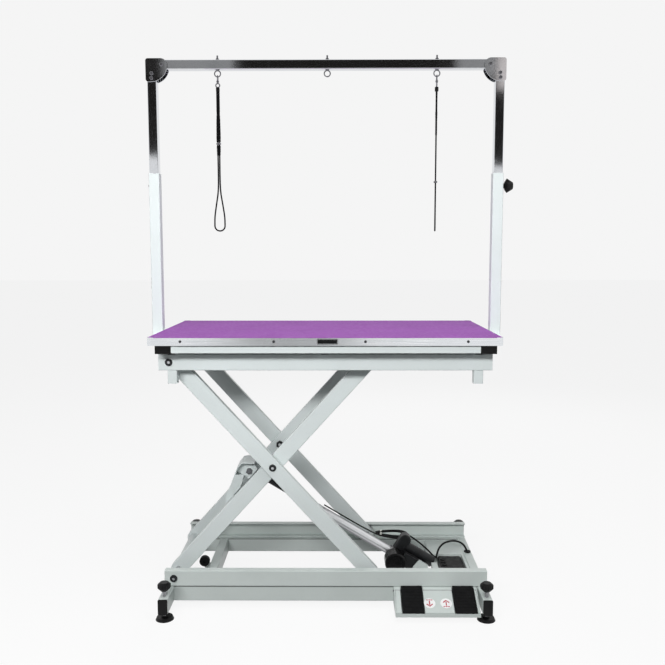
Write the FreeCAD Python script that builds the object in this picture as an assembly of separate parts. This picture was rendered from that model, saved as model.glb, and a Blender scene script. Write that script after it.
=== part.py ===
import FreeCAD, Part
import math
import os

# Grooming table with an electric scissor lift and an H-shaped grooming arch.
# Millimetres.  +X to the right of the user, +Y away from the user, +Z up.
# The shapes are drawn with the middle of the table top over X = Y = 0 and are
# shifted at the end so that the bounding box of the table is centred.

os.makedirs("parts", exist_ok=True)
V = FreeCAD.Vector

# ---------------------------------------------------------------- dimensions
TOP_HALF_X = 550.0
TOP_HALF_Y = 300.0
TOP_Z = 910.0
BOARD_Z = 885.0
TRIM_WALL = 1.5
MAT_THICK = 3.0

CHANNEL_OUT = 230.0
CHANNEL_IN = 205.0
CHANNEL_WALL = 3.0
CHANNEL_TALL = 52.0
BASE_CHANNEL_Z = 84.0
UPPER_CHANNEL_Z = 798.0
CHANNEL_END = 527.0
STUB_DROP = 43.0
STUB_X = 487.0

RAIL_IN = 185.0
TUBE_LOW = 34.0
TUBE_TOP = 84.0
OUTRIGGER_IN = 497.0
OUTRIGGER_OUT = 527.0
OUTRIGGER_FRONT = -332.0
OUTRIGGER_REAR = 285.0
CAP_THICK = 4.0
TUBE_WALL = 2.5
SEAM_DEPTH = 1.6
SEAM_TALL = 2.6

PIVOT_X = -497.0
LOW_PIVOT_Z = 110.0
HIGH_PIVOT_Z = 824.0
ROLLER_X = 149.0
ARM_HALF = 25.7
ARM_A_Y = (159.0, 183.0)
SHAFT_R = 10.0
BOLT_R = 8.0
RUN_GAP = 0.05
ROLLER_R = 22.7
ROLLER_Y = (206.0, 226.0)

ROD_PIN_S = 376.0
ROD_PIN_N = 33.0
ACT_PIVOT = (318.0, 58.0)
MOTOR_X = 240.0
MOTOR_Z = 95.0
MOTOR_FRONT = -76.0

FOOT_FRONT_Y = -302.0
FOOT_REAR_Y = 258.0
FOOT_X = 512.0

POST_X = 580.0
POST_HALF = 17.75
POST_TOP = 1436.0
KNOB_Z = 1394.5
UPRIGHT_HALF = 15.5
UPRIGHT_BOTTOM = 1186.0
BAR_Z = 1777.0
BAR_TALL = 31.0
BAR_HALF_X = 564.0
EYE_X = (-362.0, 5.0, 371.0)
EYE_Z = 1765.0

ARM_LENGTH = math.hypot(ROLLER_X - PIVOT_X, HIGH_PIVOT_Z - LOW_PIVOT_Z)
ARM_ANGLE = math.degrees(math.atan2(HIGH_PIVOT_Z - LOW_PIVOT_Z, ROLLER_X - PIVOT_X))
CENTRE_X = (PIVOT_X + ROLLER_X) / 2
CENTRE_Z = (LOW_PIVOT_Z + HIGH_PIVOT_Z) / 2

NODES = {}
CORDS = {}


# ------------------------------------------------------------------- helpers
def block(x0, x1, y0, y1, z0, z1):
    return Part.makeBox(x1 - x0, y1 - y0, z1 - z0, V(x0, y0, z0))


def rod(start, direction, radius, length):
    return Part.makeCylinder(radius, length, V(*start), V(*direction))


def ring(start, direction, outer, inner, length):
    return rod(start, direction, outer, length).cut(rod(start, direction, inner, length))


def polygon(corners, push):
    face = Part.Face(Part.makePolygon(corners + corners[:1]))
    return face.extrude(push)


def plate_xz(points, y0, y1):
    return polygon([V(x, y0, z) for x, z in points], V(0, y1 - y0, 0))


def plate_yz(points, x0, x1):
    return polygon([V(x0, y, z) for y, z in points], V(x1 - x0, 0, 0))


def mirror_x(shape):
    return shape.mirror(V(0, 0, 0), V(1, 0, 0))


def mirror_y(shape):
    return shape.mirror(V(0, 0, 0), V(0, 1, 0))


def fuse(first, *others):
    result = first
    for other in others:
        result = result.fuse(other)
    return result.removeSplitter()


def edges_along(shape, axis):
    found = []
    for edge in shape.Edges:
        if edge.Length < 0.5 or not isinstance(edge.Curve, Part.Line):
            continue
        way = edge.tangentAt(edge.FirstParameter)
        if abs(abs(way.dot(V(*axis))) - 1) < 1e-6:
            found.append(edge)
    return found


def softened(shape, axis, radius):
    return shape.makeFillet(radius, edges_along(shape, axis))


def box_tube(x0, x1, y0, y1, z0, z1, along, wall=TUBE_WALL, corner=3.5):
    outer = softened(block(x0, x1, y0, y1, z0, z1), along, corner)
    shrink = [0 if part else wall for part in along]
    inner = block(x0 + shrink[0], x1 - shrink[0],
                  y0 + shrink[1], y1 - shrink[1],
                  z0 + shrink[2], z1 - shrink[2])
    return outer.cut(softened(inner, along, max(corner - wall, 0.8)))


def fluted_knob(start, direction, radius, length, flutes=8, depth=2.6):
    body = rod(start, direction, radius, length)
    way = V(*direction)
    side = V(0, 1, 0) if abs(way.y) < 0.5 else V(1, 0, 0)
    first = V(*start) + side * (radius + depth)
    groove = Part.makeCylinder(2 * depth, length, first, way)
    for index in range(flutes):
        turned = groove.copy()
        turned.rotate(V(*start), way, 360.0 * index / flutes)
        body = body.cut(turned)
    return body


def hex_head(start, direction, across, length):
    radius = across / math.sqrt(3)
    way = V(*direction)
    side = V(0, 0, 1) if abs(way.z) < 0.5 else V(1, 0, 0)
    other = way.cross(side)
    corners = []
    for index in range(6):
        turn = math.radians(60 * index)
        corners.append(V(*start) + side * (radius * math.cos(turn)) + other * (radius * math.sin(turn)))
    return polygon(corners, way * length)


def keep(name, *shapes):
    NODES[name] = shapes[0] if len(shapes) == 1 else Part.makeCompound(list(shapes))


# ---------------------------------------------------------------- base frame
def channel(bottom, half_length):
    z0 = bottom
    z1 = bottom + CHANNEL_TALL
    w = CHANNEL_WALL
    outline = [(-CHANNEL_OUT, z0), (-CHANNEL_IN, z0), (-CHANNEL_IN, z0 + w),
               (-CHANNEL_OUT + w, z0 + w), (-CHANNEL_OUT + w, z1 - w),
               (-CHANNEL_IN, z1 - w), (-CHANNEL_IN, z1), (-CHANNEL_OUT, z1)]
    shape = plate_yz(outline, -half_length, half_length)
    outer = [e for e in edges_along(shape, (1, 0, 0)) if abs(e.CenterOfMass.y + CHANNEL_OUT) < 0.1]
    return shape.makeFillet(2.5, outer)


def make_base_frame():
    lower = channel(BASE_CHANNEL_Z, CHANNEL_END)
    hole = rod((PIVOT_X, -CHANNEL_OUT - 1, LOW_PIVOT_Z), (0, 1, 0), SHAFT_R, 10)
    lower = lower.cut(hole)
    keep("base_channels", lower, mirror_y(lower))

    rail = box_tube(-OUTRIGGER_IN, OUTRIGGER_IN, -CHANNEL_OUT, -RAIL_IN, TUBE_LOW, TUBE_TOP, (1, 0, 0))
    seam = block(-OUTRIGGER_IN, OUTRIGGER_IN, -CHANNEL_OUT - 1, -CHANNEL_OUT + SEAM_DEPTH,
                 TUBE_TOP - SEAM_TALL, TUBE_TOP + 1)
    rail = rail.cut(seam)
    keep("base_rails", rail, mirror_y(rail))

    tube = box_tube(-OUTRIGGER_OUT, -OUTRIGGER_IN, OUTRIGGER_FRONT + CAP_THICK, OUTRIGGER_REAR - CAP_THICK,
                    TUBE_LOW, TUBE_TOP, (0, 1, 0))
    for y in (FOOT_FRONT_Y, FOOT_REAR_Y):
        tube = tube.cut(rod((-FOOT_X, y, TUBE_LOW - 1), (0, 0, 1), 6.1, 60))
    right = mirror_x(tube).cut(rod((FOOT_X, 60, TUBE_TOP - 5), (0, 0, 1), 8, 10))
    keep("outriggers", tube, right)

    caps = []
    for x in (-OUTRIGGER_OUT, OUTRIGGER_IN):
        for y, inward in ((OUTRIGGER_FRONT, 1), (OUTRIGGER_REAR, -1)):
            y1 = y + inward * CAP_THICK
            y2 = y + inward * 16
            lid = softened(block(x, x + 30, min(y, y1), max(y, y1), TUBE_LOW, TUBE_TOP), (0, 1, 0), 3.5)
            plug = block(x + 2.6, x + 27.4, min(y1, y2), max(y1, y2), TUBE_LOW + 2.6, TUBE_TOP - 2.6)
            caps.append(fuse(lid, plug))
    keep("outrigger_end_caps", *caps)

    cross = box_tube(-409, -377, -RAIL_IN, RAIL_IN, TUBE_LOW, TUBE_TOP, (0, 1, 0))
    plate_outline = [(-409, 44), (-409, 84), (-420, 104), (-434, 104), (-438, 98), (-438, 84), (-414, 44)]
    plate = plate_xz(plate_outline, -42, -38)
    keep("inner_cross_tube", cross, plate)
    pad = rod((-427, -62, 95), (0, 1, 0), 17.5, 20)
    front = [e for e in pad.Edges if abs(e.CenterOfMass.y + 62) < 0.1]
    pad = pad.makeFillet(5, front).cut(rod((-427, -63, 95), (0, 1, 0), 5, 4))
    keep("rubber_buffer", pad)

    shaft = rod((PIVOT_X, -CHANNEL_OUT, LOW_PIVOT_Z), (0, 1, 0), SHAFT_R, 2 * CHANNEL_OUT)
    low_cap = rod((PIVOT_X, CHANNEL_OUT, LOW_PIVOT_Z), (0, 1, 0), 9.5, 3.5)
    keep("lower_pivot_shaft", fuse(shaft, pivot_head(PIVOT_X, LOW_PIVOT_Z), low_cap))
    keep("cable_grommet", grommet())


def pivot_head(x, z):
    washer = rod((x, -CHANNEL_OUT - 2, z), (0, 1, 0), 12, 2)
    dome = rod((x, -CHANNEL_OUT - 9, z), (0, 1, 0), 9.5, 7)
    front = [e for e in dome.Edges if abs(e.CenterOfMass.y + CHANNEL_OUT + 9) < 0.1]
    dome = dome.makeFillet(2.5, front)
    socket = hex_head((x, -CHANNEL_OUT - 9.5, z), (0, 1, 0), 10, 5)
    return fuse(washer, dome.cut(socket))


def grommet():
    flange = ring((FOOT_X, 60, TUBE_TOP), (0, 0, 1), 12, 4.5, 4)
    neck = ring((FOOT_X, 60, TUBE_TOP - 5), (0, 0, 1), 7.9, 4.5, 5)
    return fuse(flange, neck)


# ----------------------------------------------- tray, control box, pedals
def make_controls():
    sheet = block(372, 497, -RAIL_IN, RAIL_IN, 78, 80)
    flange = block(370, 372, -RAIL_IN, RAIL_IN, 36, 80)
    tub = block(388, 490, -75, 50, 36, 80)
    tray = fuse(sheet, flange, tub)
    tray = tray.cut(block(390, 488, -73, 48, 38, 90))
    tray = tray.cut(block(360, 400, -26, 40, 30, 90))
    keep("control_tray", tray)

    case = softened(block(402, 484, -70, 45, 38, 75), (0, 0, 1), 6)
    rim = [e for e in case.Edges if abs(e.CenterOfMass.z - 75) < 0.1]
    case = case.makeFillet(3, rim)
    parts = [case]
    for y in (-36, -12, 12):
        parts.append(ring((416, y, 66), (0, 0, 1), 8, 5, 12))
        parts.append(hex_head((416, y, 74), (0, 0, 1), 17, 3))
    keep("control_box", fuse(*parts))

    bar = box_tube(298, 342, -RAIL_IN, RAIL_IN, TUBE_LOW, 44, (0, 1, 0), 2.0, 2.0)
    lug_outline = [(298, 44), (342, 44), (355, 60), (355, 82), (325, 101), (303, 76)]
    lug = plate_xz(lug_outline, -56, -50)
    lug = lug.cut(rod((ACT_PIVOT[0], -60, ACT_PIVOT[1]), (0, 1, 0), 6, 20))
    keep("actuator_mount", fuse(bar, lug, mirror_y(lug)))
    pin = rod((ACT_PIVOT[0], -58, ACT_PIVOT[1]), (0, 1, 0), 6, 116)
    head = rod((ACT_PIVOT[0], -63, ACT_PIVOT[1]), (0, 1, 0), 10, 6)
    keep("actuator_pin", fuse(pin, head, mirror_y(head)))


PEDAL_BACK = (-237.0, 90.0)
PEDAL_FRONT = (-328.0, 44.0)
PEDAL_PIN = (-243.0, 76.0)
TRAY_X = (222.0, 490.0)
PEDAL_X = ((245.0, 313.0), (412.0, 480.0))


def make_pedal_unit():
    x0, x1 = TRAY_X
    floor = block(x0, x1, -330, -230, 28, 30.5)
    back = block(x0, x1, -232, -230, 28, 84)
    lip = block(x0, x1, -330, -328, 28, 39)
    cheek = [(-232, 28), (-330, 28), (-330, 39), (-256, 84), (-232, 84)]
    walls = [plate_yz(cheek, x0, x0 + 2), plate_yz(cheek, x1 - 2, x1)]
    deck_cheek = [(-232, 28), (-320, 28), (-320, 38), (-236, 80), (-232, 80)]
    walls.append(plate_yz(deck_cheek, 318, 320))
    walls.append(plate_yz(deck_cheek, 405, 407))
    deck = plate_yz([(-321, 37), (-236, 80), (-232, 80), (-232, 82.2), (-237, 82.2), (-322, 39.2)], x0, x1)
    foot = plate_yz([(-322, 30), (-320, 30), (-320, 39.2), (-322, 39.2)], x0, x1)
    for left, right in PEDAL_X:
        deck = deck.cut(block(left - 3, right + 3, -319, -233, 20, 100))
        deck = deck.cut(block(left - 3, right + 3, -324, -318, 20, 100))
        foot = foot.cut(block(left - 3, right + 3, -324, -318, 20, 100))
    tray = fuse(floor, back, lip, deck, foot, *walls)
    pin_hole = rod((x0 - 5, PEDAL_PIN[0], PEDAL_PIN[1]), (1, 0, 0), 3, x1 - x0 + 10)
    keep("pedal_tray", tray.cut(pin_hole))
    keep("pedal_rod", rod((x0 - 3, PEDAL_PIN[0], PEDAL_PIN[1]), (1, 0, 0), 3, x1 - x0 + 6))
    keep("left_pedal", pedal(*PEDAL_X[0]))
    keep("right_pedal", pedal(*PEDAL_X[1]))


def pedal(x0, x1):
    yb, zb = PEDAL_BACK
    yf, zf = PEDAL_FRONT
    outline = [(yf, zf), (yb, zb), (yb, zb - 20), (yb - 14, zb - 20), (yf + 6, zf - 6), (yf, zf - 5)]
    shape = plate_yz(outline, x0, x1)
    slope = math.hypot(yb - yf, zb - zf)
    away = V(0, -(zb - zf) / slope, (yb - yf) / slope)
    shape = softened(shape, (0, (yb - yf) / slope, (zb - zf) / slope), 1.5)
    for index in range(7):
        share = (index + 1.5) / 9.0
        spot = V(x0 + 4, yf + share * (yb - yf), zf + share * (zb - zf)) + away * 0.8
        shape = shape.cut(Part.makeCylinder(1.5, x1 - x0 - 8, spot, V(1, 0, 0)))
    bore = rod((x0 - 1, PEDAL_PIN[0], PEDAL_PIN[1]), (1, 0, 0), 3 + RUN_GAP, x1 - x0 + 2)
    return shape.cut(bore)


# ------------------------------------------------------------ levelling feet
def foot(x, y):
    pad = Part.makeCone(29, 25, 9, V(x, y, 8))
    neck = rod((x, y, 17), (0, 0, 1), 11, 3)
    stem = rod((x, y, 19), (0, 0, 1), 6, 87)
    knob = fluted_knob((x, y, 102), (0, 0, 1), 21, 28, 8, 2.4)
    outer = Part.makeCone(11, 22, 12, V(x, y, 102)).fuse(rod((x, y, 114), (0, 0, 1), 22, 8))
    outer = outer.fuse(Part.makeCone(22, 12, 9, V(x, y, 122)))
    knob = knob.common(outer)
    return fuse(pad, neck, stem, knob)


def make_feet():
    keep("foot_front_left", foot(-FOOT_X, FOOT_FRONT_Y))
    keep("foot_front_right", foot(FOOT_X, FOOT_FRONT_Y))
    keep("foot_rear_left", foot(-FOOT_X, FOOT_REAR_Y))
    keep("foot_rear_right", foot(FOOT_X, FOOT_REAR_Y))


# ------------------------------------------------------------------- scissor
def on_arm(shape, pivot_z, angle):
    """Turns a shape drawn along +X from the origin onto an arm's line."""
    placed = shape.copy()
    placed.rotate(V(0, 0, 0), V(0, 1, 0), -angle)
    placed.translate(V(PIVOT_X, 0, pivot_z))
    return placed


def arm_bar(y_range, first_bore, middle_bore, last_bore):
    y0, y1 = y_range
    slab = block(0, ARM_LENGTH, y0, y1, -ARM_HALF, ARM_HALF)
    for x in (0, ARM_LENGTH):
        slab = slab.fuse(rod((x, y0, 0), (0, 1, 0), ARM_HALF, y1 - y0))
    slab = slab.removeSplitter()
    rims = [e for e in slab.Edges
            if abs(e.CenterOfMass.y - y0) < 0.01 or abs(e.CenterOfMass.y - y1) < 0.01]
    slab = slab.makeFillet(2.5, rims)
    wall = TUBE_WALL
    for x0, x1 in ((30, ARM_LENGTH / 2 - 20), (ARM_LENGTH / 2 + 20, ARM_LENGTH - 30)):
        slab = slab.cut(block(x0, x1, y0 + wall, y1 - wall, -ARM_HALF + wall, ARM_HALF - wall))
    for x, radius in ((0, first_bore), (ARM_LENGTH / 2, middle_bore), (ARM_LENGTH, last_bore)):
        slab = slab.cut(rod((x, y0 - 1, 0), (0, 1, 0), radius, y1 - y0 + 2))
    return slab


def centre_bolt():
    shank = rod((CENTRE_X, -ARM_A_Y[1], CENTRE_Z), (0, 1, 0), BOLT_R, ARM_A_Y[1] - 122)
    washer = rod((CENTRE_X, -ARM_A_Y[1] - 1.5, CENTRE_Z), (0, 1, 0), 12, 1.5)
    head = rod((CENTRE_X, -ARM_A_Y[1] - 7, CENTRE_Z), (0, 1, 0), 10.2, 5.5)
    face = [e for e in head.Edges if abs(e.CenterOfMass.y + ARM_A_Y[1] + 7) < 0.1]
    head = head.makeFillet(2, face).cut(
        hex_head((CENTRE_X, -ARM_A_Y[1] - 7.5, CENTRE_Z), (0, 1, 0), 9, 4))
    spacer = rod((CENTRE_X, -ARM_A_Y[0] + 0.3, CENTRE_Z), (0, 1, 0), 14, 4.4)
    nut = hex_head((CENTRE_X, -129.7, CENTRE_Z), (0, 1, 0), 24, 8.5)
    return fuse(shank, washer, head, spacer, nut)


def lift_bracket():
    """Folded hood welded on the square cross tube, with two lugs for the rod end.
    Drawn along the arm: first number along it, second number above its middle."""
    outer = [(236, 20), (268, 40), (308, 53.3), (361.3, 74.7), (384, 75.5), (394, 67), (416.3, 40.8)]
    inner = [(412.8, 38.8), (391, 64.4), (383, 71.5), (362, 70.9), (309.6, 49.6), (270, 36.4), (243, 20)]
    back = plate_xz(outer + inner, -48, 48)
    full_side = plate_xz(outer + [(400, 30), (300, 20)], 44, 48)
    front_side = plate_xz([(236, 20), (268, 40), (308, 53.3), (336, 64.5), (362, 41), (318, 20)], -48, -44)
    lug = plate_xz([(352, 16), (398, 16), (404, 30), (389, 66.5), (362, 70.9), (346, 64.5)], -24, -17)
    lug = lug.cut(rod((ROD_PIN_S, -30, ROD_PIN_N), (0, 1, 0), 7, 20))
    return fuse(back, full_side, front_side, lug, mirror_y(lug))


def rod_stub_bolt():
    shank = rod((ROD_PIN_S, -24, ROD_PIN_N), (0, 1, 0), 7, 8.5)
    head = hex_head((ROD_PIN_S, -31, ROD_PIN_N), (0, 1, 0), 20, 7)
    return fuse(shank, head)


def roller(y0, y1):
    wheel = rod((ROLLER_X, y0, 0), (0, 1, 0), ROLLER_R, y1 - y0)
    return wheel.makeChamfer(1.2, [e for e in wheel.Edges if isinstance(e.Curve, Part.Circle)])


def raised(shape, z):
    moved = shape.copy()
    moved.translate(V(0, 0, z))
    return moved


def make_scissor():
    bar_b = on_arm(arm_bar((-154, -130), SHAFT_R + RUN_GAP, BOLT_R + RUN_GAP, BOLT_R + RUN_GAP),
                   LOW_PIVOT_Z, ARM_ANGLE)
    keep("arm_b_bars", bar_b, mirror_y(bar_b))
    pivot_tube = ring((0, -130, 0), (0, 1, 0), 17, SHAFT_R + RUN_GAP, 260)
    square = box_tube(242, 282, -130, 130, -20, 20, (0, 1, 0), 2.5, 3)
    keep("arm_b_cross_tubes", on_arm(pivot_tube, LOW_PIVOT_Z, ARM_ANGLE),
         on_arm(square, LOW_PIVOT_Z, ARM_ANGLE))
    keep("lift_bracket", on_arm(lift_bracket(), LOW_PIVOT_Z, ARM_ANGLE))
    bolt = on_arm(rod_stub_bolt(), LOW_PIVOT_Z, ARM_ANGLE)
    keep("rod_bolts", bolt, mirror_y(bolt))

    bar_a = on_arm(arm_bar((-183, -159), SHAFT_R + RUN_GAP, BOLT_R, BOLT_R + RUN_GAP),
                   HIGH_PIVOT_Z, -ARM_ANGLE)
    keep("arm_a_bars", bar_a, mirror_y(bar_a))
    upper_tube = ring((PIVOT_X, -159, HIGH_PIVOT_Z), (0, 1, 0), 17, SHAFT_R + RUN_GAP, 318)
    keep("arm_a_pivot_tube", upper_tube)
    keep("centre_bolts", centre_bolt(), mirror_y(centre_bolt()))

    wheel = roller(-ROLLER_Y[1], -ROLLER_Y[0])
    shaft = rod((ROLLER_X, -ROLLER_Y[0], 0), (0, 1, 0), BOLT_R, 2 * ROLLER_Y[0])
    keep("upper_rollers", raised(wheel, HIGH_PIVOT_Z), raised(shaft, HIGH_PIVOT_Z),
         raised(mirror_y(wheel), HIGH_PIVOT_Z))
    stub = rod((ROLLER_X, -ROLLER_Y[0], 0), (0, 1, 0), BOLT_R, ROLLER_Y[0] - 155)
    keeper = rod((ROLLER_X, -158.7, 0), (0, 1, 0), 12, 3.7)
    collar = rod((ROLLER_X, -ROLLER_Y[0], 0), (0, 1, 0), 11, 22)
    lower = raised(fuse(wheel, stub, keeper, collar), LOW_PIVOT_Z)
    keep("lower_roller_front", lower)
    keep("lower_roller_rear", mirror_y(lower))


# ------------------------------------------------------------------ actuator
ROD_PIN_X = (PIVOT_X + ROD_PIN_S * math.cos(math.radians(ARM_ANGLE))
             - ROD_PIN_N * math.sin(math.radians(ARM_ANGLE)))
ROD_PIN_Z = (LOW_PIVOT_Z + ROD_PIN_S * math.sin(math.radians(ARM_ANGLE))
             + ROD_PIN_N * math.cos(math.radians(ARM_ANGLE)))
ACT_LENGTH = math.hypot(ROD_PIN_X - ACT_PIVOT[0], ROD_PIN_Z - ACT_PIVOT[1])
ACT_ANGLE = math.degrees(math.atan2(ROD_PIN_Z - ACT_PIVOT[1], ACT_PIVOT[0] - ROD_PIN_X))


def on_actuator(shape):
    """Turns a shape drawn along -X from the origin onto the actuator's line."""
    placed = shape.copy()
    placed.rotate(V(0, 0, 0), V(0, 1, 0), ACT_ANGLE)
    placed.translate(V(ACT_PIVOT[0], 0, ACT_PIVOT[1]))
    return placed


def make_actuator():
    along = (-1, 0, 0)
    sleeve = ring((-100, 0, 0), along, 15.5, 10.05, 312)
    wiper = ring((-404, 0, 0), along, 16.5, 10.05, 9)
    flange = ring((-104, 0, 0), along, 20, 10.05, 8)
    keep("actuator_tube", on_actuator(fuse(sleeve, wiper, flange)))

    core = rod((-28, 0, 0), along, 24, 76)
    core = core.makeFillet(4, [e for e in core.Edges if isinstance(e.Curve, Part.Circle)])
    clevis = fuse(block(-34, 0, -9, 9, -12, 12), rod((0, -9, 0), (0, 1, 0), 12, 18))
    tower = block(-104, -64, -19, 19, 0, 64)
    tower_top = rod((-84, -19, 64), (0, 1, 0), 20, 38)
    tower = softened(tower, (0, 0, 1), 6)
    tower_top = tower_top.makeFillet(5, [e for e in tower_top.Edges if isinstance(e.Curve, Part.Circle)])
    back_tube = rod((44, 0, 42), (-1, 0, 0), 19.5, 120)
    back_tube = back_tube.makeFillet(3, [e for e in back_tube.Edges if abs(e.CenterOfMass.x - 44) < 0.1])
    saddle = block(-62, -30, -13, 13, 10, 40)
    cover = softened(block(-70, 22, -47, -22, 9, 34), (0, 1, 0), 4)
    cover = cover.fuse(softened(block(-70, -14, -47, -22, -12, 20), (0, 1, 0), 4))
    housing = fuse(core, clevis, tower, tower_top, back_tube, saddle, cover)
    housing = housing.cut(rod((-100, 0, 0), along, 15.5, 6))
    housing = housing.cut(rod((0, -20, 0), (0, 1, 0), 6 + RUN_GAP, 40))
    keep("gear_housing", on_actuator(housing))

    drum = rod((MOTOR_X, MOTOR_FRONT, MOTOR_Z), (0, 1, 0), 36, 54)
    drum = drum.makeFillet(6, [e for e in drum.Edges if abs(e.CenterOfMass.y - MOTOR_FRONT) < 0.1])
    neck = rod((MOTOR_X, -24, MOTOR_Z), (0, 1, 0), 20, 12)
    keep("motor", fuse(drum, neck).cut(NODES["gear_housing"]).cut(NODES["actuator_tube"]))

    bar = rod((-345, 0, 0), along, 10, ACT_LENGTH - 345 - 12)
    eye = rod((-ACT_LENGTH, -15, 0), (0, 1, 0), 15, 30)
    eye = eye.makeChamfer(1.5, [e for e in eye.Edges if isinstance(e.Curve, Part.Circle)])
    neck = rod((-ACT_LENGTH + 34, 0, 0), along, 13, 26)
    keep("actuator_rod", on_actuator(fuse(bar, eye, neck)))


# --------------------------------------------------------------- upper frame
CLAMP_Y = (262.0, 290.0)
CLAMP_Z = (860.0, 885.0)
CLAMP_X = (-526.0, 531.0)
CLAMP_CAP = 50.0


def make_upper_frame():
    front = channel(UPPER_CHANNEL_Z, CHANNEL_END + 3)
    front = front.cut(rod((PIVOT_X, -CHANNEL_OUT - 1, HIGH_PIVOT_Z), (0, 1, 0), SHAFT_R, 10))
    z1 = UPPER_CHANNEL_Z
    for x in (-STUB_X, STUB_X):
        stub = box_tube(x - 15, x + 15, -227, -197, z1 - STUB_DROP, z1, (0, 0, 1), 2, 2.5)
        foot_plate = softened(block(x - 15, x + 15, -227, -197, z1 - STUB_DROP, z1 - STUB_DROP + 2),
                              (0, 0, 1), 2.5)
        front = fuse(front, stub, foot_plate)
    keep("upper_channels", front, mirror_y(front))

    tubes = [box_tube(x - 15, x + 15, -CLAMP_Y[0], CLAMP_Y[0], 850, BOARD_Z, (0, 1, 0))
             for x in (-480, 0, 480)]
    keep("upper_cross_tubes", *tubes)

    rail = box_tube(CLAMP_X[0] + CLAMP_CAP, CLAMP_X[1] - CLAMP_CAP, -CLAMP_Y[1], -CLAMP_Y[0],
                    CLAMP_Z[0], CLAMP_Z[1], (1, 0, 0), 2, 2.5)
    keep("clamp_rails", rail, mirror_y(rail))
    caps = []
    for x0, x1 in ((CLAMP_X[0], CLAMP_X[0] + CLAMP_CAP), (CLAMP_X[1] - CLAMP_CAP, CLAMP_X[1])):
        cap = softened(block(x0, x1, -CLAMP_Y[1], -CLAMP_Y[0], CLAMP_Z[0] - 2, CLAMP_Z[1]), (1, 0, 0), 3)
        caps += [cap, mirror_y(cap)]
    keep("clamp_rail_caps", *caps)

    shaft = rod((PIVOT_X, -CHANNEL_OUT, HIGH_PIVOT_Z), (0, 1, 0), SHAFT_R, 2 * CHANNEL_OUT)
    head = pivot_head(PIVOT_X, HIGH_PIVOT_Z)
    keep("upper_pivot_shaft", fuse(shaft, head, mirror_y(head)))
    make_top()
    make_posts()


def make_top():
    half_x = TOP_HALF_X - TRIM_WALL
    half_y = TOP_HALF_Y - TRIM_WALL
    mat_z = TOP_Z - MAT_THICK
    board = softened(block(-half_x, half_x, -half_y, half_y, BOARD_Z, mat_z), (0, 0, 1), 14)
    mat = softened(block(-half_x + 0.5, half_x - 0.5, -half_y + 0.5, half_y - 0.5, mat_z, TOP_Z),
                   (0, 0, 1), 14)
    keep("table_board", board)
    keep("table_mat", mat)

    gap = 22
    long_trim = block(-TOP_HALF_X + gap, TOP_HALF_X - gap, -TOP_HALF_Y, -half_y, BOARD_Z, TOP_Z - 0.8)
    short_trim = block(-TOP_HALF_X, -half_x, -TOP_HALF_Y + gap, TOP_HALF_Y - gap, BOARD_Z, TOP_Z - 0.8)
    keep("table_trim", long_trim, mirror_y(long_trim), short_trim, mirror_x(short_trim))

    outer = softened(block(-TOP_HALF_X, TOP_HALF_X, -TOP_HALF_Y, TOP_HALF_Y, BOARD_Z, TOP_Z + 0.6),
                     (0, 0, 1), 15.5)
    inner = softened(block(-half_x, half_x, -half_y, half_y, BOARD_Z - 1, TOP_Z + 2), (0, 0, 1), 14)
    band = outer.cut(inner)
    corners = []
    for sx in (-1, 1):
        for sy in (-1, 1):
            x = sorted((sx * (TOP_HALF_X - gap), sx * (TOP_HALF_X + 1)))
            y = sorted((sy * (TOP_HALF_Y - gap), sy * (TOP_HALF_Y + 1)))
            corners.append(band.common(block(x[0], x[1], y[0], y[1], BOARD_Z - 1, TOP_Z + 2)))
    keep("trim_corner_caps", *corners)

    screws = []
    for x in (-445, -157, 125, 440):
        head = rod((x, -TOP_HALF_Y - 1.6, 898), (0, 1, 0), 4.2, 1.6)
        head = head.cut(block(x - 3, x + 3, -TOP_HALF_Y - 2, -TOP_HALF_Y - 1, 897.4, 898.6))
        screws += [head, mirror_y(head)]
    side = rod((-POST_X - POST_HALF - 4, 0, 1396), (1, 0, 0), 5, 4)
    outer_rim = [e for e in side.Edges if abs(e.CenterOfMass.x + POST_X + POST_HALF + 4) < 0.1]
    side = side.makeFillet(1.5, outer_rim)
    screws.append(side)
    keep("small_screws", *screws)
    plate = softened(block(-24, 40, -TOP_HALF_Y - 1.2, -TOP_HALF_Y, 889.5, 906.5), (0, 1, 0), 2.5)
    keep("nameplate", plate)


def make_posts():
    left = box_tube(-POST_X - POST_HALF, -POST_X + POST_HALF, -POST_HALF, POST_HALF,
                    BOARD_Z, POST_TOP, (0, 0, 1), 1.95, 3)
    right = mirror_x(left).cut(rod((POST_X + 10, 0, KNOB_Z), (1, 0, 0), 4 + RUN_GAP, 20))
    plate = softened(block(-600, -495, -40, 40, BOARD_Z - 8, BOARD_Z), (0, 0, 1), 6)
    gusset = plate_xz([(-598, 877), (-540, 877), (-540, 869), (-560, 852), (-598, 852)], -3, 3)
    bracket = fuse(plate, gusset)
    keep("arch_posts", left, right, bracket, mirror_x(bracket))
    base_x = POST_X + POST_HALF
    stud = rod((POST_X + UPRIGHT_HALF + 0.5, 0, KNOB_Z), (1, 0, 0), 4, 20)
    neck = rod((base_x + 1, 0, KNOB_Z), (1, 0, 0), 8, 8)
    grip = fluted_knob((base_x + 7, 0, KNOB_Z), (1, 0, 0), 24.5, 27, 5, 6)
    cone = Part.makeCone(13, 24.5, 7, V(base_x + 7, 0, KNOB_Z), V(1, 0, 0))
    cone = cone.fuse(Part.makeCone(24.5, 12, 20, V(base_x + 14, 0, KNOB_Z), V(1, 0, 0)))
    keep("clamp_knob", fuse(stud, neck, grip.common(cone)))


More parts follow.
